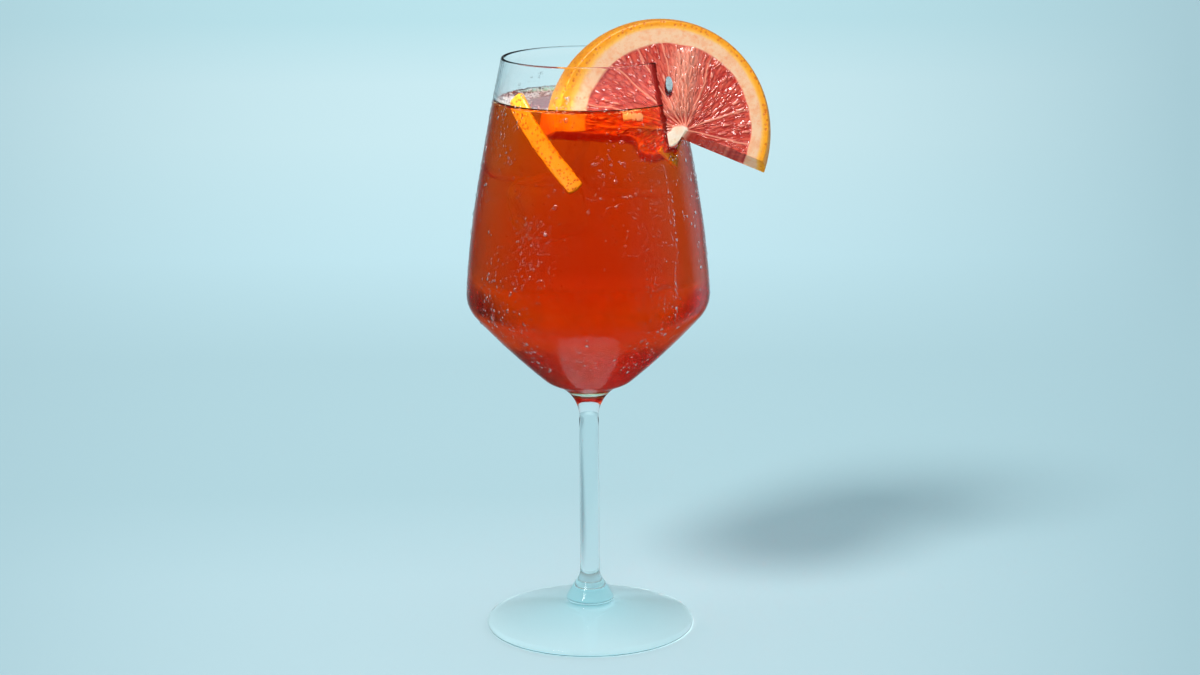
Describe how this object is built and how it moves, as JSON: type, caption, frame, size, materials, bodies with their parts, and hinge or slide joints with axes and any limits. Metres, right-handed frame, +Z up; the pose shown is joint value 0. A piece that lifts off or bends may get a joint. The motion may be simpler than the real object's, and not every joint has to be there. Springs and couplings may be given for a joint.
{
  "type": "sparkling aperitif cocktail",
  "caption": "Orange sparkling drink in a tall stemmed glass, with a pink grapefruit half slice cut over the rim and a strip of orange peel.",
  "frame": {"origin": "middle of the foot's flat underside, on the axis of the glass", "axes": "+Z up along the axis of the glass; -Y towards the viewer, so that the fruit hangs over the rim on the +X side"},
  "size_m": [0.1128, 0.0914, 0.2351],
  "materials": {
    "glass": "clear polished glass",
    "drink": "clear orange-red sparkling drink",
    "grapefruit": "wet pink grapefruit flesh, pale pith, yellow-orange rind",
    "orange_peel": "waxy orange peel with fine pores",
    "ice": "clear ice",
    "water_drops": "clear water drops"
  },
  "bodies": {
    "root": {"glass": "glass", "drink": "drink", "grapefruit_slice": "grapefruit", "peel_strip": "orange_peel"}
  },
  "joints": []
}
